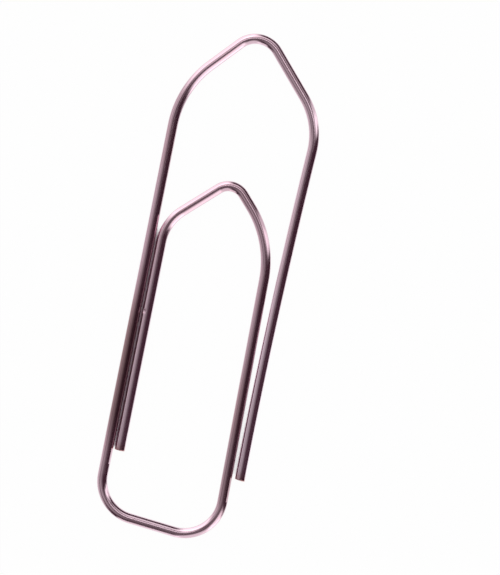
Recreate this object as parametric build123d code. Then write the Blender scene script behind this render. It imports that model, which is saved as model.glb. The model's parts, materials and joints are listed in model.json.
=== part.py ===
from build123d import *

import os
from collections import namedtuple
from math import acos, cos, degrees, radians, sin, tan

# Paper clip of the pointed, double-loop kind: one round steel wire bent flat, every bend turning
# the same way, into an outer loop and an inner tongue. X runs across the clip, Y along it with
# the points towards +Y, and Z up. The clip lies on Z = 0, with the middle of its outline at the
# origin. Sizes are in millimetres, angles in degrees, and bend radii go to the wire's axis.

# Wire and overall size
wire_diameter = 1.0
clip_length = 50.0  # outside of the spine to outside of the outer tip
clip_width = 14.9  # outside of the left leg to outside of the right shoulder
end_break = 0.06  # rounding of the rim of the two sheared ends

# Outer loop
outer_tip_offset = -0.19  # tip's bend from the middle of the width
outer_tip_radius = 2.5
outer_right_angle = 48.4  # slope of a roof, which is the straight run between a shoulder and the tip
outer_left_angle = 47.5
right_shoulder_share = 0.345  # part of the slope from the tip to the leg that the shoulder bends away
left_shoulder_share = 0.508
free_leg_angle = 2.6  # lean of the free leg where it leaves the shoulder
free_leg_bow_radius = 620.0  # the free leg's slight set, which straightens its end
free_end_height = 6.65  # outside of the spine to the free leg's cut end
free_end_straight = 2.0  # unbowed length at the free leg's cut end

# Spine
spine_angle = 5.3  # slope of the spine, which is lowest at the right
left_corner_radius = 3.8
right_corner_radius = 3.75

# Tongue
tip_setback = 14.7  # outside of the outer tip to outside of the tongue's tip
tongue_tip_offset = -0.11  # tip's bend from the middle of the width
tongue_tip_radius = 1.75
tongue_right_angle = 47.6
tongue_left_angle = 43.0
tongue_right_shoulder_share = 0.733
tongue_left_shoulder_share = 0.318
tongue_leg_angle = 0.7  # lean of the tongue's leg
tongue_end_height = 7.25  # outside of the spine to the tongue's cut end

# Clearances between wires that lie side by side
side_gap = 0.15  # left leg to the tongue's free leg
free_end_gap = 0.28  # outer loop's cut end to the tongue's leg

# Lines that the wire's axis keeps to
wire_radius = wire_diameter / 2
left_x = wire_radius - clip_width / 2
right_x = clip_width / 2 - wire_radius
bottom_y = wire_radius - clip_length / 2
top_y = clip_length / 2 - wire_radius
free_end_y = free_end_height - clip_length / 2
tongue_end_y = tongue_end_height - clip_length / 2
tongue_left_x = left_x + wire_diameter + side_gap

# Headings of the wire, counted from +X towards +Y. They grow all along it, and the tongue is the
# second lap.
UP, BACK, DOWN, ACROSS = 90, 180, 270, 360
LAP = 360

Run = namedtuple("Run", "point heading")
Bend = namedtuple("Bend", "centre radius enters leaves")


def place(x, y):
    """Point of the wire's axis, which lies one wire radius above the surface."""
    return Vector(x, y, wire_radius)


def ahead(heading):
    """Unit vector along a heading."""
    return Vector(cos(radians(heading)), sin(radians(heading)), 0)


def left_of(heading):
    """Unit vector to the left of a heading, the side on which every bend has its centre."""
    return ahead(heading + 90)


def point_at(bend, heading):
    """Point of a bend where the wire has a heading."""
    return bend.centre - left_of(heading) * bend.radius


def run_into(bend):
    """Straight run that leads into a bend, held by its end."""
    return Run(point_at(bend, bend.enters), bend.enters)


def run_from(bend):
    """Straight run that leads on from a bend, held by its start."""
    return Run(point_at(bend, bend.leaves), bend.leaves)


def corner(first, second, radius):
    """Bend of a radius that takes the wire from one run into another."""
    start = first.point + left_of(first.heading) * radius
    offset = second.point + left_of(second.heading) * radius - start
    along = ahead(first.heading)
    onward = ahead(second.heading)
    distance = (offset.X * onward.Y - offset.Y * onward.X) / (along.X * onward.Y - along.Y * onward.X)
    return Bend(start + along * distance, radius, first.heading, second.heading)


def shoulder(roof, leg, share):
    """Bend between a roof, held at the tip, and a leg, which takes up a share of the roof's slope."""
    turn = radians(abs(leg.heading - roof.heading))
    slope_length = (roof.point - leg.point).dot(left_of(leg.heading)) / sin(turn)
    radius = share * slope_length / tan(turn / 2)
    first, second = sorted([roof, leg], key=lambda run: run.heading)
    return corner(first, second, radius)


# Outer loop's tip, roofs, left leg and shoulders
outer_tip = Bend(
    centre=place(outer_tip_offset, top_y - outer_tip_radius),
    radius=outer_tip_radius,
    enters=BACK - outer_right_angle,
    leaves=BACK + outer_left_angle,
)
right_side = Run(place(right_x, 0), UP)
left_leg = Run(place(left_x, 0), DOWN)
left_shoulder = shoulder(run_from(outer_tip), left_leg, left_shoulder_share)
right_shoulder = shoulder(run_into(outer_tip), right_side, right_shoulder_share)
right_shoulder = right_shoulder._replace(enters=UP - free_leg_angle)

# Free leg, a shallow arc that hollows towards the tongue, with a short straight end
bow_centre = run_into(right_shoulder).point - left_of(right_shoulder.enters) * free_leg_bow_radius
free_end_heading = degrees(acos((free_end_y + free_end_straight - bow_centre.Y) / free_leg_bow_radius))
bow_start = bow_centre + left_of(free_end_heading) * free_leg_bow_radius
free_end = bow_start - ahead(free_end_heading) * free_end_straight

# Tongue's leg, which keeps its gap to the free end, and the spine between the two bottom corners
tongue_leg_step = (wire_diameter + free_end_gap) / cos(radians(tongue_leg_angle))
tongue_leg = Run(free_end - Vector(tongue_leg_step, 0, 0), LAP + UP + tongue_leg_angle)
bottom = Run(place(0, bottom_y), ACROSS)
right_corner = corner(bottom, tongue_leg, right_corner_radius)
right_corner = right_corner._replace(enters=ACROSS - spine_angle)
left_corner = corner(left_leg, run_into(right_corner), left_corner_radius)

# Tongue's tip, roofs, free leg and shoulders
tongue_tip = Bend(
    centre=place(tongue_tip_offset, top_y - tip_setback - tongue_tip_radius),
    radius=tongue_tip_radius,
    enters=LAP + BACK - tongue_right_angle,
    leaves=LAP + BACK + tongue_left_angle,
)
tongue_free_leg = Run(place(tongue_left_x, 0), LAP + DOWN)
tongue_right_shoulder = shoulder(run_into(tongue_tip), tongue_leg, tongue_right_shoulder_share)
tongue_left_shoulder = shoulder(run_from(tongue_tip), tongue_free_leg, tongue_left_shoulder_share)
tongue_end = place(tongue_left_x, tongue_end_y)

# Bends in the order in which the wire takes them, each with the straight run that follows it. A
# run with two names is parted half way, at the section about which the opened clip twists.
stretches = [
    ("right_shoulder", right_shoulder, ["right_roof_lower", "right_roof_upper"]),
    ("outer_tip", outer_tip, ["left_roof"]),
    ("left_shoulder", left_shoulder, ["left_leg"]),
    ("left_corner", left_corner, ["spine_left", "spine_right"]),
    ("right_corner", right_corner, ["tongue_leg"]),
    ("tongue_right_shoulder", tongue_right_shoulder, ["tongue_right_roof"]),
    ("tongue_tip", tongue_tip, ["tongue_left_roof_upper", "tongue_left_roof_lower"]),
    ("tongue_left_shoulder", tongue_left_shoulder, ["tongue_free_leg"]),
]


def section(point, direction):
    """The wire's round section at a point, square to its direction there."""
    return Plane(origin=point, z_dir=direction) * Circle(wire_radius)


def straight(start, end):
    """Straight stretch of wire."""
    return extrude(section(start, end - start), (end - start).length)


def curved(centre, start, heading, turn):
    """Stretch of wire that turns about a centre, to the left where the turn is positive."""
    return revolve(section(start, ahead(heading)), Axis(centre, (0, 0, 1)), turn)


def sheared(stretch, end):
    """Stretch of wire with the rim of its cut end rounded."""
    cut_face = stretch.faces().filter_by(GeomType.PLANE).sort_by_distance(end)[0]
    return fillet(cut_face.edges(), end_break)


wire = {}
twists = {}

bow_turn = right_shoulder.enters - free_end_heading
bowed_leg = curved(bow_centre, bow_start, free_end_heading, bow_turn)
wire["outer_free_leg"] = sheared(straight(free_end, bow_start), free_end) + bowed_leg

run_ends = [run_into(bend).point for _, bend, _ in stretches[1:]] + [tongue_end]
for (bend_name, bend, run_names), run_end in zip(stretches, run_ends):
    bend_start = run_into(bend).point
    run_start = run_from(bend).point
    wire[bend_name] = curved(bend.centre, bend_start, bend.enters, bend.leaves - bend.enters)
    stops = [run_start, run_end]
    if len(run_names) == 2:
        middle = (run_start + run_end) * 0.5
        stops.insert(1, middle)
        twists[run_names[0]] = middle
    for name, start, end in zip(run_names, stops, stops[1:]):
        wire[name] = straight(start, end)
wire["tongue_free_leg"] = sheared(wire["tongue_free_leg"], tongue_end)

os.makedirs("parts", exist_ok=True)
for name, stretch in wire.items():
    stretch.label = name
    export_step(stretch, f"parts/{name}.step")

for name, middle in twists.items():
    print("twist section at the end of", name, [round(value, 4) for value in middle])
print("wire volume", round(sum(stretch.volume for stretch in wire.values()), 2), "cubic millimetres")
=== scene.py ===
import json
from collections import namedtuple
from math import atan2, radians, sin, tan

import bmesh
import bpy
from bpy.props import FloatProperty, FloatVectorProperty, IntProperty, PointerProperty
from mathutils import Euler, Matrix, Vector, noise


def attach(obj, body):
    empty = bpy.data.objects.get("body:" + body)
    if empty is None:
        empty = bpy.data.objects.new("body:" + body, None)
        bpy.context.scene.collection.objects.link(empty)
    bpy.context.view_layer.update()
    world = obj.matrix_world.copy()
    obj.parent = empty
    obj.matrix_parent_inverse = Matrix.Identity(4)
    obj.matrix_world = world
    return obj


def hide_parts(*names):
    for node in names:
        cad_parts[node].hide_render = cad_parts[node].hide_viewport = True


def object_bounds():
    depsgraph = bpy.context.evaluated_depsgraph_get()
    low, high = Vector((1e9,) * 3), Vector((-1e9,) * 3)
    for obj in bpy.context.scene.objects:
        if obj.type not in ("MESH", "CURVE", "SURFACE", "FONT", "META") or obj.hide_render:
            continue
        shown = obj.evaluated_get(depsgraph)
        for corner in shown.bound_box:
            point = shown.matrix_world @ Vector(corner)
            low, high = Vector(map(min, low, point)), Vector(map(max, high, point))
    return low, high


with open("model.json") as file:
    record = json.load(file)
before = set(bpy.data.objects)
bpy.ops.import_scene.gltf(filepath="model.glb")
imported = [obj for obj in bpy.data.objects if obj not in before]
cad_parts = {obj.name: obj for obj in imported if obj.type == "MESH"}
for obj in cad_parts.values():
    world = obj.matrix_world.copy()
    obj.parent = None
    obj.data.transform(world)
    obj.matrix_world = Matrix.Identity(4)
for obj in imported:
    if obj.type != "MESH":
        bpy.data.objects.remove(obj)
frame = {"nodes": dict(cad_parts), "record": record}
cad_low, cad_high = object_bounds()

bl_info = {
    "name": "Pointed Paper Clip",
    "version": (1, 0, 0),
    "blender": (4, 5, 0),
    "location": "3D View > Sidebar > Paper Clip",
    "description": "Dresses a bent wire paper clip around its CAD frame and sets it on a pale stage",
    "category": "Object",
}

MM = 0.001
UP = Vector((0, 0, 1))

# What counts as one point, as one flat face and as a straight stretch in the CAD meshes
WELD = 1e-7
FLAT = radians(0.1)
STRAIGHT = radians(0.01)

# Stretches of the wire from the outer loop's cut end to the tongue's cut end
WIRE = (
    "outer_free_leg",
    "right_shoulder",
    "right_roof_lower",
    "right_roof_upper",
    "outer_tip",
    "left_roof",
    "left_shoulder",
    "left_leg",
    "left_corner",
    "spine_left",
    "spine_right",
    "right_corner",
    "tongue_leg",
    "tongue_right_shoulder",
    "tongue_right_roof",
    "tongue_tip",
    "tongue_left_roof_upper",
    "tongue_left_roof_lower",
    "tongue_left_shoulder",
    "tongue_free_leg",
)
BENDS = (
    "right_shoulder",
    "outer_tip",
    "left_shoulder",
    "left_corner",
    "right_corner",
    "tongue_right_shoulder",
    "tongue_tip",
    "tongue_left_shoulder",
)
FREE_LEGS = ("outer_free_leg", "tongue_free_leg")
RUNS = tuple(name for name in WIRE if name not in BENDS + FREE_LEGS)

End = namedtuple("End", "centre outward")
Stretch = namedtuple("Stretch", "start heading lead centre radius turn length along")
Panel = namedtuple("Panel", "name azimuth elevation width height softness brightness")

# Soft panels on the dome of light round the clip: direction as the camera sees it, with 0 to the
# right and 90 to the top, height above the floor, reach to the sides and up and down in degrees,
# part of that reach over which it fades, and brightness
PANELS = (
    Panel("upper_left_box", 111, 8, 40, 57, 0.5, 1.36),
    Panel("upper_left_card", 115, 45, 35, 25, 0.6, 0.43),
    Panel("lower_right_box", 315, 16, 18, 83, 0.5, 1.23),
    Panel("lower_right_card", 315, 0, 30, 14, 0.6, 0.45),
    Panel("right_box", 16, 10, 15, 72, 0.5, 0.73),
    Panel("right_strip", 12, 25, 9, 45, 0.5, 0.59),
    Panel("lower_card", 281, 8, 31, 62, 0.5, 0.83),
    Panel("lower_left_card", 250, -4, 18, 17, 0.5, 0.88),
    Panel("left_card", 176, -2, 70, 36, 0.5, 0.55),
    Panel("left_strip", 150, 32, 27, 37, 0.5, 0.35),
    Panel("top_card", 72, 39, 66, 25, 1, 0.89),
    Panel("top_strip", 75, 30, 45, 14, 0.8, 0.33),
    Panel("high_card", 68, 74, 28, 10, 0.64, 1.2),
    Panel("zenith_card", 100, 92, 13, 47, 1, 0.11),
    Panel("overhead_card", 202, 54, 44, 43, 1, 0.42),
)

# Tone of the plating along the wire: millimetres from the outer loop's cut end, and the tone there,
# from 0 at the darkest plating to 1 at the brightest
TONES_ALONG = (
    (0, 1),
    (13, 1),
    (20, 0.7),
    (72, 0.5),
    (80, 0.1),
    (87, 0.1),
    (93, 0.7),
    (104, 0.7),
    (113, 0.3),
    (135, 0.5),
    (172, 0.85),
)
TONES_ALONG_SPAN = 200

# Relief of the cut faces: shorn smooth above and crumbled below, where the wire broke off
CUT_TRIM = 0.005 * MM
COLLAR = 0.15 * MM
RIM_STEPS = 4
FACING = 0.99
CRUMBLE_RINGS = 6
CRUMBLE_RING = 0.065 * MM
CRUMBLE_BAND = 0.25 * MM
CRUMBLE_DEPTH = 0.03 * MM
CRUMBLE_RELIEF = 0.02 * MM
CRUMBLE_GRAIN = 0.2 * MM
CRUMBLE_FRACTAL = (0.8, 2, 3)
TORN_SHADE = 0.6

# Patterns in the plating and on the cut faces: features to a millimetre across the wire and along
# it, and the values between which each pattern comes up
DRAW_LINES = (9, 0.04)
LINE_EDGE = (0.35, 0.65)
SLOW_WAVES = (1.1, 0.16)
WARM_PATCHES = (0.5, 0.14)
PATCH_EDGE = (0.38, 0.62)
RUST_SPECKS = (6, 6)
SPECK_EDGE = (0.35, 0.6)
LEAST_RUST = 0.4
CUT_GRAIN = (14, 14)
GRAIN_EDGE = (0.3, 0.7)
GRAIN_ROUGHNESS = (0.3, 0.55)
GRAIN_RELIEF = 0.01 * MM

# Tone at which the plating keeps its own colour, neither darker nor brighter
PLAIN_TONE = 0.5

# Cuts across the wire to each side of the nick's middle, and how many of them lie within its reach
NICK_CUTS = 12
CUTS_IN_REACH = 10

# Space in front of the cut ends that the low cards of painted reflection leave clear: to each side,
# behind and ahead
CLEAR_SIDE = 0.8 * MM
CLEAR_BEHIND = 0.5 * MM
CLEAR_AHEAD = 2 * MM

# Openness of the floor, within its reach, by which it takes its painted shade: from painted shade to
# plain floor, and from plain floor to white
OPEN_REACH = 4 * MM
OPEN_SAMPLES = 32
PLAIN_FLOOR = (0.13, 0.24)
WHITE_FLOOR = (0.18, 0.245)
WHITEST = 0.97

# The floor is shifted so that the seam between its two triangles keeps clear of the clip
FLOOR_REACH = 4
FLOOR_SHIFT = (1, -1)
FLOOR_DROP = 0.02 * MM

# Height of the lamp that lights the floor, as a part of the dome's radius
FILL_HEIGHT = 0.8

QUARTER_TURN = 0.25
SENSOR_WIDTH = 36

# Sockets of the Mix node for colours, which share their names with its sockets for other kinds
MIX_FIRST = 6
MIX_SECOND = 7
MIX_RESULT = 2


class PlatedWire(bpy.types.PropertyGroup):
    """Drawn and plated steel wire that the clip is bent from"""

    diameter: FloatProperty(
        name="Diameter",
        description="Thickness of the wire",
        default=1.0 * MM,
        min=0.1 * MM,
        unit="LENGTH",
        precision=5,
    )
    sides: IntProperty(
        name="Sides",
        description="Faces round the wire",
        default=64,
        min=12,
    )
    ring_step: FloatProperty(
        name="Ring Step",
        description="Length of a face on the straight runs",
        default=1.0 * MM,
        min=0.1 * MM,
        unit="LENGTH",
        precision=5,
    )
    bend_step: FloatProperty(
        name="Bend Step",
        description="Turn of a face in the bends",
        default=radians(2),
        subtype="ANGLE",
    )
    plating: FloatVectorProperty(
        name="Plating",
        description="Colour of the bright plating",
        default=(0.73, 0.53, 0.61),
        min=0,
        max=1,
        subtype="COLOR",
    )
    warm_plating: FloatVectorProperty(
        name="Warm Plating",
        description="Colour of the plating where it is thin and the metal below shows through",
        default=(0.71, 0.485, 0.55),
        min=0,
        max=1,
        subtype="COLOR",
    )
    # Colour that the plating darkens to along the wire, where its tone falls to 0
    darkest_plating: FloatVectorProperty(
        name="Darkest Plating",
        description="Colour of the plating where it has dulled",
        default=(0.365, 0.225, 0.23),
        min=0,
        max=1,
        subtype="COLOR",
    )
    # Colour that the plating brightens to along the wire, where its tone rises to 1, and at the nick's
    # scuff
    brightest_plating: FloatVectorProperty(
        name="Brightest Plating",
        description="Colour of the plating where use has burnished it",
        default=(0.98, 0.79, 0.89),
        min=0,
        max=1,
        subtype="COLOR",
    )
    roughness: FloatProperty(
        name="Roughness",
        description="Roughness of the plating between its draw lines",
        default=0.13,
        min=0,
        max=1,
        subtype="FACTOR",
    )
    line_roughness: FloatProperty(
        name="Line Roughness",
        description="Roughness that the draw lines add",
        default=0.05,
        min=0,
        max=1,
        subtype="FACTOR",
    )
    scuff_roughness: FloatProperty(
        name="Scuff Roughness",
        description="Roughness that a scuff adds",
        default=0.3,
        min=0,
        max=1,
        subtype="FACTOR",
    )
    anisotropy: FloatProperty(
        name="Anisotropy",
        description="How far the draw lines spread reflections across the wire",
        default=0.7,
        min=0,
        max=1,
        subtype="FACTOR",
    )
    wave_relief: FloatProperty(
        name="Wave Relief",
        description="Depth of the slow waves along the wire",
        default=0.008 * MM,
        min=0,
        unit="LENGTH",
        precision=6,
    )
    line_relief: FloatProperty(
        name="Line Relief",
        description="Depth of the draw lines",
        default=0.0015 * MM,
        min=0,
        unit="LENGTH",
        precision=6,
    )


class ShearedEnds(bpy.types.PropertyGroup):
    """The two cut ends of the wire"""

    rim: FloatProperty(
        name="Rim",
        description="Rounding of the rim",
        default=0.06 * MM,
        min=0,
        unit="LENGTH",
        precision=5,
    )
    outer_slant: FloatProperty(
        name="Outer Slant",
        description="Slant of the cut on the outer loop's free leg, which is longest at its right",
        default=radians(6),
        subtype="ANGLE",
    )
    tongue_slant: FloatProperty(
        name="Tongue Slant",
        description="Slant of the cut on the tongue's free leg, which is longest at its right",
        default=radians(3),
        subtype="ANGLE",
    )
    rust: FloatVectorProperty(
        name="Rust",
        description="Colour of the rust that starts at the cut",
        default=(0.48, 0.16, 0.10),
        min=0,
        max=1,
        subtype="COLOR",
    )
    rust_reach: FloatProperty(
        name="Rust Reach",
        description="Length of wire that the rust has reached from the cut",
        default=0.3 * MM,
        min=0.01 * MM,
        unit="LENGTH",
        precision=5,
    )
    steel: FloatVectorProperty(
        name="Cut Steel",
        description="Colour of the bare steel on the cut faces",
        default=(0.50, 0.45, 0.45),
        min=0,
        max=1,
        subtype="COLOR",
    )


class StruckNick(bpy.types.PropertyGroup):
    """Small nick in the tongue's free leg"""

    place: FloatProperty(
        name="Place",
        description="Place of the nick along the clip, from its middle towards the points",
        default=-3.85 * MM,
        unit="LENGTH",
        precision=5,
    )
    side: FloatProperty(
        name="Side",
        description="Turn of the nick round the wire, from the top towards its right",
        default=radians(38),
        subtype="ANGLE",
    )
    reach: FloatProperty(
        name="Reach",
        description="Half of the nick's length",
        default=0.3 * MM,
        min=0.01 * MM,
        unit="LENGTH",
        precision=5,
    )
    spread: FloatProperty(
        name="Spread",
        description="Half of the nick's turn round the wire",
        default=0.5,
        min=0.01,
        subtype="ANGLE",
    )
    depth: FloatProperty(
        name="Depth",
        description="Depth of the nick at its middle",
        default=0.09 * MM,
        min=0,
        unit="LENGTH",
        precision=5,
    )


class ClipStage(bpy.types.PropertyGroup):
    """Floor, light and camera"""

    floor: FloatVectorProperty(
        name="Floor",
        description="Colour of the floor",
        default=(0.93, 0.93, 0.93),
        min=0,
        max=1,
        subtype="COLOR",
    )
    # Painted shade: the floor's colour where the wires close it in, mixed in by how enclosed it is, on
    # top of its real shading there
    shadow: FloatVectorProperty(
        name="Shadow",
        description="Colour of the floor in the narrow gaps between the wires",
        default=(0.42, 0.15, 0.28),
        min=0,
        max=1,
        subtype="COLOR",
    )
    surround: FloatVectorProperty(
        name="Surround",
        description="Colour of the dark room that the plating mirrors between the lamps",
        default=(0.05, 0.022, 0.034),
        min=0,
        max=1,
        subtype="COLOR",
    )
    fill_power: FloatProperty(
        name="Fill Power",
        description="Power of the overhead lamp that lights the floor, in watts",
        default=2.0,
        min=0,
        unit="POWER",
    )
    dome_radius: FloatProperty(
        name="Dome Radius",
        description="Distance from the clip to the dome of light",
        default=1.0,
        min=0.3,
        unit="LENGTH",
    )
    # The low cards glow with a painted reflection of the dome's lowest part, which the wire's lower
    # flanks show in place of the floor
    card_gap: FloatProperty(
        name="Card Gap",
        description="Gap between the wire and the low cards beside it",
        default=0.6 * MM,
        unit="LENGTH",
        precision=5,
    )
    card_foot: FloatProperty(
        name="Card Foot",
        description="Height of the low cards' lower edge above the floor",
        default=0.35 * MM,
        unit="LENGTH",
        precision=5,
    )
    card_top: FloatProperty(
        name="Card Top",
        description="Height of the low cards' upper edge above the floor",
        default=0.95 * MM,
        unit="LENGTH",
        precision=5,
    )
    lens: FloatProperty(
        name="Lens",
        description="Focal length of the camera, in millimetres",
        default=135,
        min=20,
    )
    picture_height: FloatProperty(
        name="Picture Height",
        description="Height of what the camera sees at the level of the wire's axis",
        default=56.37 * MM,
        unit="LENGTH",
        precision=5,
    )
    aim: FloatVectorProperty(
        name="Aim",
        description="Point of the clip's plane at the middle of the picture",
        default=(3.60 * MM, 0.44 * MM),
        size=2,
        unit="LENGTH",
        precision=5,
    )
    lean: FloatProperty(
        name="Lean",
        description="Turn of the camera about its line of sight, which leans the clip to the right",
        default=radians(11.33),
        subtype="ANGLE",
    )


def flat_ends(node):
    """Middles and outward directions of the two flat ends of a CAD stretch, its faces of most sides."""
    mesh = bmesh.new()
    mesh.from_mesh(node.data)
    bmesh.ops.remove_doubles(mesh, verts=mesh.verts, dist=WELD)
    bmesh.ops.dissolve_limit(mesh, angle_limit=FLAT, verts=mesh.verts, edges=mesh.edges)
    flats = sorted(mesh.faces, key=lambda face: len(face.verts))[-2:]
    ends = [End(face.calc_center_median(), face.normal.copy()) for face in flats]
    mesh.free()
    return ends


def stretch_between(first, last, along):
    """Straight lead and single bend that take the wire from one end of a stretch to the other."""
    heading = -first.outward
    span = last.centre - first.centre
    sweep = heading.cross(last.outward).z
    turn = atan2(sweep, heading.dot(last.outward))
    if abs(turn) < STRAIGHT:
        return Stretch(first.centre, heading, span.length, None, 0, 0, span.length, along)
    before = span.cross(last.outward).z / sweep
    after = heading.cross(span).z / sweep
    lead = max(before - after, 0)
    radius = after / tan(turn / 2)
    centre = first.centre + heading * lead + UP.cross(heading) * radius
    return Stretch(first.centre, heading, lead, centre, radius, turn, lead + radius * turn, along)


def wire_course():
    """Every stretch in wire order, read from the flat ends of the CAD nodes."""
    course = {}
    along = 0
    reached = None
    for name in WIRE:
        ends = flat_ends(frame["nodes"][name])
        if reached is None:
            ends.sort(key=lambda end: end.centre.y)
        else:
            ends.sort(key=lambda end: (end.centre - reached).length)
        course[name] = stretch_between(*ends, along)
        along += course[name].length
        reached = ends[1].centre
    return course


def straightened(point, stretch):
    """A point of a stretch as it lies in the unbent wire: left of its axis, above it, and along it."""
    offset = point - stretch.start
    left = UP.cross(stretch.heading)
    run = offset.dot(stretch.heading)
    if run <= stretch.lead or not stretch.turn:
        return Vector((offset.dot(left), offset.z, stretch.along + run))
    side = 1 if stretch.radius > 0 else -1
    arm = point - stretch.centre
    turned = atan2(arm.dot(stretch.heading), -side * arm.dot(left))
    reach = arm.xy.length
    along = stretch.along + stretch.lead + side * stretch.radius * turned
    return Vector((stretch.radius - side * reach, offset.z, along))


def heading_at(point, stretch):
    """Direction of the wire where a point of a stretch lies."""
    run = (point - stretch.start).dot(stretch.heading)
    if run <= stretch.lead or not stretch.turn:
        return stretch.heading
    arm = point - stretch.centre
    return UP.cross(arm).normalized() * (1 if stretch.turn > 0 else -1)


def section_place(stretch):
    """Place of the section at the start of a stretch: left on X, up on Y, ahead on Z."""
    axes = Matrix((UP.cross(stretch.heading), UP, stretch.heading)).transposed()
    return Matrix.Translation(stretch.start) @ axes.to_4x4()


def draw_out(mesh, outline, stretch, wire):
    """Draws an outline along a stretch and returns the outline that it ends as."""
    if stretch.lead > 0:
        steps = max(1, round(stretch.lead / wire.ring_step))
        step = stretch.heading * stretch.lead / steps
        outline = bmesh.ops.spin(
            mesh, geom=outline, cent=stretch.start, axis=UP, dvec=step, angle=0, steps=steps
        )["geom_last"]
    if stretch.turn:
        steps = max(1, round(abs(stretch.turn) / wire.bend_step))
        steps = max(steps, round(abs(stretch.turn * stretch.radius) / wire.ring_step))
        outline = bmesh.ops.spin(
            mesh, geom=outline, cent=stretch.centre, axis=UP, angle=stretch.turn, steps=steps
        )["geom_last"]
    return outline


def edges_of(geometry):
    """The edges among mixed geometry."""
    return [part for part in geometry if isinstance(part, bmesh.types.BMEdge)]


def round_wire(stretch, wire):
    """Closed mesh of the wire along a stretch, and the flat faces at its start and end."""
    mesh = bmesh.new()
    bmesh.ops.create_circle(
        mesh, segments=wire.sides, radius=wire.diameter / 2, matrix=section_place(stretch)
    )
    first = mesh.verts[:] + mesh.edges[:]
    last = draw_out(mesh, first, stretch, wire)
    flats = []
    for outline in (first, last):
        flats += bmesh.ops.edgeloop_fill(mesh, edges=edges_of(outline))["faces"]
    bmesh.ops.recalc_face_normals(mesh, faces=mesh.faces)
    for face in mesh.faces:
        face.smooth = face not in flats
    for flat in flats:
        for edge in flat.edges:
            edge.smooth = False
    return mesh, flats


def everything(mesh):
    """All the geometry of a mesh."""
    return mesh.verts[:] + mesh.edges[:] + mesh.faces[:]


def shear(mesh, flat, slant, ends):
    """Cuts an end off at a slant, longest at its right, rounds its rim and breaks up its face."""
    outward = Matrix.Rotation(-slant, 3, "Z") @ flat.normal
    corner = max((vert.co for vert in flat.verts), key=lambda place: place.x) - flat.normal * CUT_TRIM
    bmesh.ops.bisect_plane(
        mesh, geom=everything(mesh), plane_co=corner - outward * COLLAR, plane_no=outward
    )
    bmesh.ops.bisect_plane(
        mesh, geom=everything(mesh), plane_co=corner, plane_no=outward, clear_outer=True
    )
    rim = [edge for edge in mesh.edges if edge.is_boundary]
    bmesh.ops.edgeloop_fill(mesh, edges=rim)
    bmesh.ops.bevel(
        mesh,
        geom=rim,
        offset=ends.rim,
        segments=RIM_STEPS,
        profile=0.5,
        affect="EDGES",
        material=-1,
    )
    bmesh.ops.recalc_face_normals(mesh, faces=mesh.faces)
    for face in mesh.faces:
        face.smooth = len(face.verts) == 4
    facing = [face for face in mesh.faces if face.normal.dot(outward) > FACING]
    cut = max(facing, key=lambda face: len(face.verts))
    broken = [cut]
    for _ in range(CRUMBLE_RINGS):
        broken += bmesh.ops.inset_individual(mesh, faces=[cut], thickness=CRUMBLE_RING)["faces"]
    broken += bmesh.ops.poke(mesh, faces=[cut])["faces"]
    broken = [face for face in broken if face.is_valid]
    touched = {vert for face in broken for vert in face.verts}
    inner = [vert for vert in touched if all(face in broken for face in vert.link_faces)]
    for vert in inner:
        height = vert.co.z - cad_high.z / 2
        crumbled = min(max(0.5 - height / CRUMBLE_BAND, 0), 1)
        rough = noise.fractal(vert.co / CRUMBLE_GRAIN, *CRUMBLE_FRACTAL)
        vert.co -= outward * crumbled * (CRUMBLE_DEPTH + CRUMBLE_RELIEF * rough)
    for face in broken:
        face.material_index = 1
        face.smooth = True
    bared = mesh.verts.layers.float.new("bared")
    for vert in mesh.verts:
        vert[bared] = max(1 - (corner - vert.co).dot(outward) / ends.rust_reach, 0)


def strike(mesh, stretch, wire, nick):
    """Dents the tongue's free leg where something hard has struck it."""
    middle = stretch.start.y - nick.place
    for step in range(-NICK_CUTS, NICK_CUTS + 1):
        place = stretch.start + stretch.heading * (middle + nick.reach * step / CUTS_IN_REACH)
        bmesh.ops.bisect_plane(mesh, geom=everything(mesh), plane_co=place, plane_no=stretch.heading)
    scuffed = mesh.verts.layers.float.new("scuffed")
    for vert in mesh.verts:
        left, above, along = straightened(vert.co, stretch)
        turned = atan2(-left, above) - nick.side
        away = Vector(((along - stretch.along - middle) / nick.reach, turned / nick.spread)).length
        vert[scuffed] = max(1 - away * away, 0)
        if away < 1:
            inward = Vector((stretch.start.x, vert.co.y, wire.diameter / 2)) - vert.co
            vert.co += inward.normalized() * nick.depth * (1 - away * away) ** 2


def add_piece(name, mesh, stretch, materials):
    """Puts a finished stretch of wire into the scene in the place of its CAD node."""
    in_wire = mesh.verts.layers.float_vector.new("in_wire")
    along_wire = mesh.verts.layers.float_vector.new("along_wire")
    for vert in mesh.verts:
        vert[in_wire] = straightened(vert.co, stretch) / MM
        vert[along_wire] = heading_at(vert.co, stretch)
    data = bpy.data.meshes.new(name + "_wire")
    mesh.to_mesh(data)
    mesh.free()
    for material in materials:
        data.materials.append(material)
    piece = bpy.data.objects.new(name + "_wire", data)
    bpy.context.scene.collection.objects.link(piece)
    bodies = frame["record"]["behaviour"]["bodies"]
    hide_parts(name)
    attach(piece, next(body for body, nodes in bodies.items() if name in nodes))


def add_node(tree, kind, inputs=None, **settings):
    """Adds a shader node, with its settings and the values or links of its inputs."""
    node = tree.nodes.new("ShaderNode" + kind)
    for name, value in settings.items():
        setattr(node, name, value)
    for name, value in (inputs or {}).items():
        if isinstance(value, bpy.types.NodeSocket):
            tree.links.new(value, node.inputs[name])
        else:
            node.inputs[name].default_value = value
    return node


def new_material(name):
    """Empty material with its node tree and output."""
    material = bpy.data.materials.new(name)
    material.use_nodes = True
    tree = material.node_tree
    tree.nodes.clear()
    return material, tree, add_node(tree, "OutputMaterial")


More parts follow.
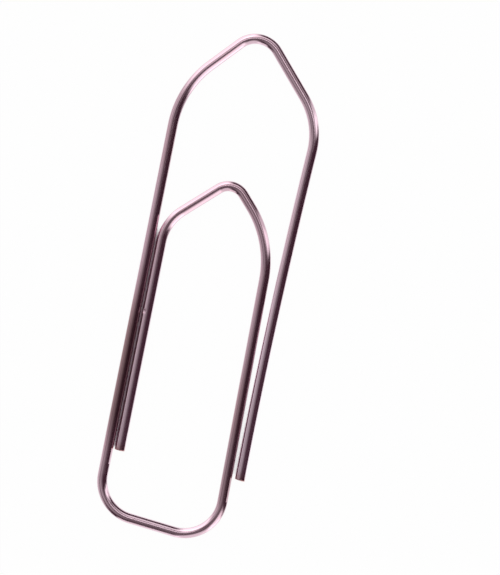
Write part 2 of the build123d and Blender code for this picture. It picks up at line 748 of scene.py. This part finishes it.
def wire_noise(tree, across, along, **inputs):
    """Noise that follows the wire, with so many features to a millimetre across and along it."""
    place = add_node(tree, "Attribute", attribute_name="in_wire")
    stretched = add_node(tree, "Mapping", {
        "Vector": place.outputs["Vector"],
        "Scale": (across, across, along),
    })
    inputs = {name.replace("_", " ").title(): value for name, value in inputs.items()}
    pattern = add_node(tree, "TexNoise", {"Vector": stretched.outputs["Vector"], "Scale": 1, **inputs})
    return pattern.outputs["Fac"]


def mapped(tree, value, low, high, to_low, to_high):
    """A value's range mapped to another, held at its ends."""
    node = add_node(tree, "MapRange", {
        "Value": value,
        "From Min": low,
        "From Max": high,
        "To Min": to_low,
        "To Max": to_high,
    })
    return node.outputs["Result"]


def mixed(tree, factor, first, second):
    """Two colours mixed by a factor."""
    node = add_node(tree, "Mix", data_type="RGBA")
    tree.links.new(factor, node.inputs["Factor"])
    for place, value in ((MIX_FIRST, first), (MIX_SECOND, second)):
        socket = node.inputs[place]
        if isinstance(value, bpy.types.NodeSocket):
            tree.links.new(value, socket)
        else:
            socket.default_value = (*value, 1)
    return node.outputs[MIX_RESULT]


def tone_along(tree):
    """Tone of the plating, by its distance along the wire."""
    place = add_node(tree, "Attribute", attribute_name="in_wire").outputs["Vector"]
    distance = add_node(tree, "SeparateXYZ", {"Vector": place}).outputs["Z"]
    ramp = add_node(tree, "ValToRGB", {"Fac": mapped(tree, distance, 0, TONES_ALONG_SPAN, 0, 1)})
    stops = ramp.color_ramp.elements
    ramp.color_ramp.interpolation = "EASE"
    while len(stops) < len(TONES_ALONG):
        stops.new(1)
    for stop, (position, tone) in zip(stops, TONES_ALONG):
        stop.position = position / TONES_ALONG_SPAN
        stop.color = (tone, tone, tone, 1)
    return ramp.outputs["Color"]


def plated_material(wire, ends):
    """Bright plating over drawn wire: draw lines, slow waves, warmer patches, darker and brighter tones
    along the wire, and rust.
    """
    if "drawn_plating" in bpy.data.materials:
        return bpy.data.materials["drawn_plating"]
    material, tree, output = new_material("drawn_plating")
    lines = wire_noise(tree, *DRAW_LINES, detail=2)
    waves = wire_noise(tree, *SLOW_WAVES, detail=1)
    patches = wire_noise(tree, *WARM_PATCHES, detail=3, roughness=0.6)
    shade = mixed(tree, mapped(tree, patches, *PATCH_EDGE, 0, 1), wire.plating, wire.warm_plating)
    scuffed = add_node(tree, "Attribute", attribute_name="scuffed").outputs["Fac"]
    # Tone of the plating along the wire, raised to the brightest at the nick's scuff
    tone = add_node(tree, "Math", {0: tone_along(tree), 1: scuffed}, operation="MAXIMUM").outputs[0]
    shade = mixed(tree, mapped(tree, tone, 0, PLAIN_TONE, 0, 1), wire.darkest_plating, shade)
    shade = mixed(tree, mapped(tree, tone, PLAIN_TONE, 1, 0, 1), shade, wire.brightest_plating)
    bared = add_node(tree, "Attribute", attribute_name="bared").outputs["Fac"]
    specks = mapped(tree, wire_noise(tree, *RUST_SPECKS, detail=3), *SPECK_EDGE, LEAST_RUST, 1)
    rusty = add_node(tree, "Math", {0: bared, 1: specks}, operation="MULTIPLY").outputs[0]
    roughest = wire.roughness + wire.line_roughness
    smooth = mapped(tree, lines, *LINE_EDGE, wire.roughness, roughest)
    rough = add_node(tree, "Math", {
        0: scuffed,
        1: wire.scuff_roughness,
        2: smooth,
    }, operation="MULTIPLY_ADD").outputs[0]
    heading = add_node(tree, "Attribute", attribute_name="along_wire").outputs["Vector"]
    drawn = add_node(tree, "VectorTransform", {
        "Vector": heading,
    }, convert_from="OBJECT", convert_to="WORLD")
    plating = add_node(tree, "BsdfPrincipled", {
        "Base Color": mixed(tree, rusty, shade, ends.rust),
        "Metallic": 1,
        "Roughness": rough,
        "Anisotropic": wire.anisotropy,
        "Anisotropic Rotation": QUARTER_TURN,
        "Tangent": drawn.outputs["Vector"],
    })
    low = add_node(tree, "Bump", {"Height": waves, "Strength": 1, "Distance": wire.wave_relief})
    fine = add_node(tree, "Bump", {
        "Height": lines,
        "Strength": 1,
        "Distance": wire.line_relief,
        "Normal": low.outputs["Normal"],
    })
    tree.links.new(fine.outputs["Normal"], plating.inputs["Normal"])
    tree.links.new(plating.outputs["BSDF"], output.inputs["Surface"])
    return material


def cut_material(ends):
    """Bare sheared steel."""
    if "sheared_steel" in bpy.data.materials:
        return bpy.data.materials["sheared_steel"]
    material, tree, output = new_material("sheared_steel")
    grain = wire_noise(tree, *CUT_GRAIN, detail=3)
    torn = [channel * TORN_SHADE for channel in ends.steel]
    steel = add_node(tree, "BsdfPrincipled", {
        "Base Color": mixed(tree, mapped(tree, grain, *GRAIN_EDGE, 0, 1), ends.steel, torn),
        "Metallic": 1,
        "Roughness": mapped(tree, grain, *GRAIN_EDGE, *GRAIN_ROUGHNESS),
    })
    bump = add_node(tree, "Bump", {"Height": grain, "Strength": 1, "Distance": GRAIN_RELIEF})
    tree.links.new(bump.outputs["Normal"], steel.inputs["Normal"])
    tree.links.new(steel.outputs["BSDF"], output.inputs["Surface"])
    return material


class CLIP_OT_runs(bpy.types.Operator):
    """Draws the straight runs of wire: roofs, legs and spine"""

    bl_idname = "clip.runs"
    bl_label = "Straight Runs"

    def execute(self, context):
        wire = context.scene.plated_wire
        ends = context.scene.sheared_ends
        course = wire_course()
        for name in RUNS:
            mesh, _ = round_wire(course[name], wire)
            add_piece(name, mesh, course[name], [plated_material(wire, ends)])
        return {"FINISHED"}


class CLIP_OT_bends(bpy.types.Operator):
    """Bends the wire at the tips, shoulders and corners"""

    bl_idname = "clip.bends"
    bl_label = "Bends"

    def execute(self, context):
        wire = context.scene.plated_wire
        ends = context.scene.sheared_ends
        course = wire_course()
        for name in BENDS:
            mesh, _ = round_wire(course[name], wire)
            add_piece(name, mesh, course[name], [plated_material(wire, ends)])
        return {"FINISHED"}


class CLIP_OT_free_legs(bpy.types.Operator):
    """Draws the two free legs and shears their ends"""

    bl_idname = "clip.free_legs"
    bl_label = "Free Legs"

    def execute(self, context):
        wire = context.scene.plated_wire
        ends = context.scene.sheared_ends
        course = wire_course()
        cuts = (("outer_free_leg", 0, ends.outer_slant), ("tongue_free_leg", 1, ends.tongue_slant))
        for name, which, slant in cuts:
            mesh, flats = round_wire(course[name], wire)
            shear(mesh, flats[which], slant, ends)
            if name == "tongue_free_leg":
                strike(mesh, course[name], wire, context.scene.struck_nick)
            add_piece(name, mesh, course[name], [plated_material(wire, ends), cut_material(ends)])
        return {"FINISHED"}


def add_stage_mesh(name, mesh, material):
    """Puts a stage object into the scene."""
    data = bpy.data.meshes.new(name)
    mesh.to_mesh(data)
    mesh.free()
    data.materials.append(material)
    thing = bpy.data.objects.new(name, data)
    bpy.context.scene.collection.objects.link(thing)
    return thing


def seen_directly(tree):
    """1 for what is seen straight, in metal or through glass, and 0 for what light bounces off."""
    path = add_node(tree, "LightPath")
    total = path.outputs["Is Camera Ray"]
    for kind in ("Is Glossy Ray", "Is Transmission Ray"):
        either = add_node(tree, "Math", {0: total, 1: path.outputs[kind]}, operation="MAXIMUM")
        total = either.outputs[0]
    return total


def floor_material(stage):
    """Plain floor that is white in the open and, where the wires close it in, darkened by its own
    shading and by a painted purple shade.
    """
    material, tree, output = new_material("pale_floor")
    occlusion = add_node(tree, "AmbientOcclusion", {"Distance": OPEN_REACH}, samples=OPEN_SAMPLES)
    open_sky = occlusion.outputs["AO"]
    # Painted shade: the paper takes the shadow colour where the wires close it in
    painted_gap_shade = mixed(tree, mapped(tree, open_sky, *PLAIN_FLOOR, 0, 1), stage.shadow, stage.floor)
    paper = add_node(tree, "BsdfDiffuse", {"Color": painted_gap_shade})
    white = add_node(tree, "Emission", {"Color": (1, 1, 1, 1), "Strength": 1})
    openness = mapped(tree, open_sky, *WHITE_FLOOR, 0, WHITEST)
    lift = add_node(tree, "Math", {0: seen_directly(tree), 1: openness}, operation="MULTIPLY")
    both = add_node(tree, "MixShader", {
        0: lift.outputs[0],
        1: paper.outputs["BSDF"],
        2: white.outputs["Emission"],
    })
    tree.links.new(both.outputs[0], output.inputs["Surface"])
    return material


def panel_light(tree, place, stage):
    """Colour of the dome at a place on it: a dark surround with soft bright panels."""
    light = stage.surround
    for panel in PANELS:
        turn = Euler((0, -radians(panel.elevation), radians(panel.azimuth) + stage.lean))
        outward = Vector((stage.dome_radius, 0, 0))
        outward.rotate(turn)
        extent = Vector((1, sin(radians(panel.width)), sin(radians(panel.height))))
        spot = add_node(tree, "Mapping", {
            "Vector": place,
            "Location": outward,
            "Rotation": turn,
            "Scale": stage.dome_radius * extent,
        }, vector_type="TEXTURE", label=panel.name)
        inside = add_node(tree, "TexGradient", {
            "Vector": spot.outputs["Vector"],
        }, gradient_type="SPHERICAL")
        fade = add_node(tree, "MapRange", {
            "Value": inside.outputs["Fac"],
            "From Max": panel.softness,
        }, interpolation_type="SMOOTHSTEP")
        light = add_node(tree, "VectorMath", {
            0: fade.outputs["Result"],
            1: [panel.brightness] * 3,
            2: light,
        }, operation="MULTIPLY_ADD").outputs["Vector"]
    return light


def dome_material(stage):
    """Glow of the dome's panels."""
    material, tree, output = new_material("light_dome")
    place = add_node(tree, "TexCoord").outputs["Object"]
    glow = add_node(tree, "Emission", {"Color": panel_light(tree, place, stage), "Strength": 1})
    tree.links.new(glow.outputs["Emission"], output.inputs["Surface"])
    return material


def painted_reflection_material(stage):
    """Painted reflection: the glow of the dome's lowest part behind a card, on its face towards the
    wire alone.
    """
    material, tree, output = new_material("painted_reflection_card")
    facing = add_node(tree, "NewGeometry")
    behind = add_node(tree, "VectorMath", {
        0: facing.outputs["Normal"],
        "Scale": -stage.dome_radius,
    }, operation="SCALE").outputs["Vector"]
    glow = add_node(tree, "Emission", {"Color": panel_light(tree, behind, stage), "Strength": 1})
    clear = add_node(tree, "BsdfTransparent")
    one_sided = add_node(tree, "MixShader", {
        0: facing.outputs["Backfacing"],
        1: glow.outputs["Emission"],
        2: clear.outputs["BSDF"],
    })
    tree.links.new(one_sided.outputs[0], output.inputs["Surface"])
    return material


def before_a_cut(place, course):
    """Whether a place lies in the short space that each cut end faces."""
    for name in FREE_LEGS:
        leg = course[name]
        left, _, along = straightened(place, leg)
        beyond = max(leg.along - along, along - leg.along - leg.length)
        if abs(left) < CLEAR_SIDE and -CLEAR_BEHIND < beyond < CLEAR_AHEAD:
            return True
    return False


def painted_reflection_cards(course, wire, stage):
    """Mesh of the low cards that stand along both sides of the wire and face it, to glow as a painted
    reflection in its lower flanks.
    """
    mesh = bmesh.new()
    for stretch in course.values():
        for side in (1, -1):
            away = side * (wire.diameter / 2 + stage.card_gap)
            foot = mesh.verts.new((away, stage.card_foot - wire.diameter / 2, 0))
            top = mesh.verts.new((away, stage.card_top - wire.diameter / 2, 0))
            outline = [foot, top, mesh.edges.new((foot, top))]
            bmesh.ops.transform(mesh, matrix=section_place(stretch), verts=outline[:2])
            before = set(mesh.faces)
            draw_out(mesh, outline, stretch, wire)
            faces = [face for face in mesh.faces if face not in before]
            faces[0].normal_update()
            if faces[0].normal.dot(UP.cross(stretch.heading)) * side > 0:
                bmesh.ops.reverse_faces(mesh, faces=faces)
            for face in faces:
                face.smooth = True
    blocking = [face for face in mesh.faces if before_a_cut(face.calc_center_median(), course)]
    bmesh.ops.delete(mesh, geom=blocking, context="FACES")
    return mesh


class CLIP_OT_stage(bpy.types.Operator):
    """Sets the floor, dome of light, low cards of painted reflection and camera"""

    bl_idname = "clip.stage"
    bl_label = "Stage"

    def execute(self, context):
        scene = context.scene
        stage = scene.clip_stage
        scene.view_settings.view_transform = "Standard"

        mesh = bmesh.new()
        ground = Matrix.Translation((*FLOOR_SHIFT, -FLOOR_DROP))
        bmesh.ops.create_grid(mesh, size=FLOOR_REACH, matrix=ground)
        add_stage_mesh("floor", mesh, floor_material(stage))

        mesh = bmesh.new()
        bmesh.ops.create_uvsphere(mesh, u_segments=64, v_segments=32, radius=stage.dome_radius)
        dome = add_stage_mesh("light_dome", mesh, dome_material(stage))
        dome.visible_camera = False

        mesh = painted_reflection_cards(wire_course(), scene.plated_wire, stage)
        cards = add_stage_mesh("painted_reflection_cards", mesh, painted_reflection_material(stage))
        # Painted reflection: the cards show only in reflections, and they light nothing and cast no
        # shadow
        cards.visible_camera = False
        cards.visible_diffuse = False
        cards.visible_shadow = False

        light = bpy.data.lights.new("floor_fill", "AREA")
        light.shape = "DISK"
        light.size = stage.dome_radius
        light.energy = stage.fill_power
        fill = bpy.data.objects.new("floor_fill", light)
        fill.location = (0, 0, FILL_HEIGHT * stage.dome_radius)
        fill.visible_camera = False
        fill.visible_glossy = False
        scene.collection.objects.link(fill)

        world = bpy.data.worlds.new("backdrop")
        world.use_nodes = True
        world.node_tree.nodes["Background"].inputs["Color"].default_value = (1, 1, 1, 1)
        scene.world = world

        lens = bpy.data.cameras.new("camera")
        lens.lens = stage.lens
        lens.sensor_width = SENSOR_WIDTH
        camera = bpy.data.objects.new("camera", lens)
        height = stage.picture_height * stage.lens / lens.sensor_width
        camera.location = (*stage.aim, cad_high.z / 2 + height)
        camera.rotation_euler = (0, 0, stage.lean)
        scene.collection.objects.link(camera)
        scene.camera = camera
        return {"FINISHED"}


class CLIP_PT_panel(bpy.types.Panel):
    """Operators and settings of the paper clip"""

    bl_idname = "CLIP_PT_panel"
    bl_label = "Paper Clip"
    bl_space_type = "VIEW_3D"
    bl_region_type = "UI"
    bl_category = "Paper Clip"

    def draw(self, context):
        for operator in OPERATORS:
            self.layout.operator(operator.bl_idname)
        for name in SETTINGS:
            group = getattr(context.scene, name)
            box = self.layout.box()
            for setting in group.__annotations__:
                box.prop(group, setting)


SETTINGS = {
    "plated_wire": PlatedWire,
    "sheared_ends": ShearedEnds,
    "struck_nick": StruckNick,
    "clip_stage": ClipStage,
}
OPERATORS = (CLIP_OT_runs, CLIP_OT_bends, CLIP_OT_free_legs, CLIP_OT_stage)


def register():
    for name, group in SETTINGS.items():
        bpy.utils.register_class(group)
        setattr(bpy.types.Scene, name, PointerProperty(type=group))
    for operator in OPERATORS:
        bpy.utils.register_class(operator)
    bpy.utils.register_class(CLIP_PT_panel)


def unregister():
    bpy.utils.unregister_class(CLIP_PT_panel)
    for operator in reversed(OPERATORS):
        bpy.utils.unregister_class(operator)
    for name, group in SETTINGS.items():
        delattr(bpy.types.Scene, name)
        bpy.utils.unregister_class(group)


def main():
    register()
    bpy.ops.clip.runs()
    bpy.ops.clip.bends()
    bpy.ops.clip.free_legs()
    bpy.ops.clip.stage()


if __name__ == "__main__":
    main()
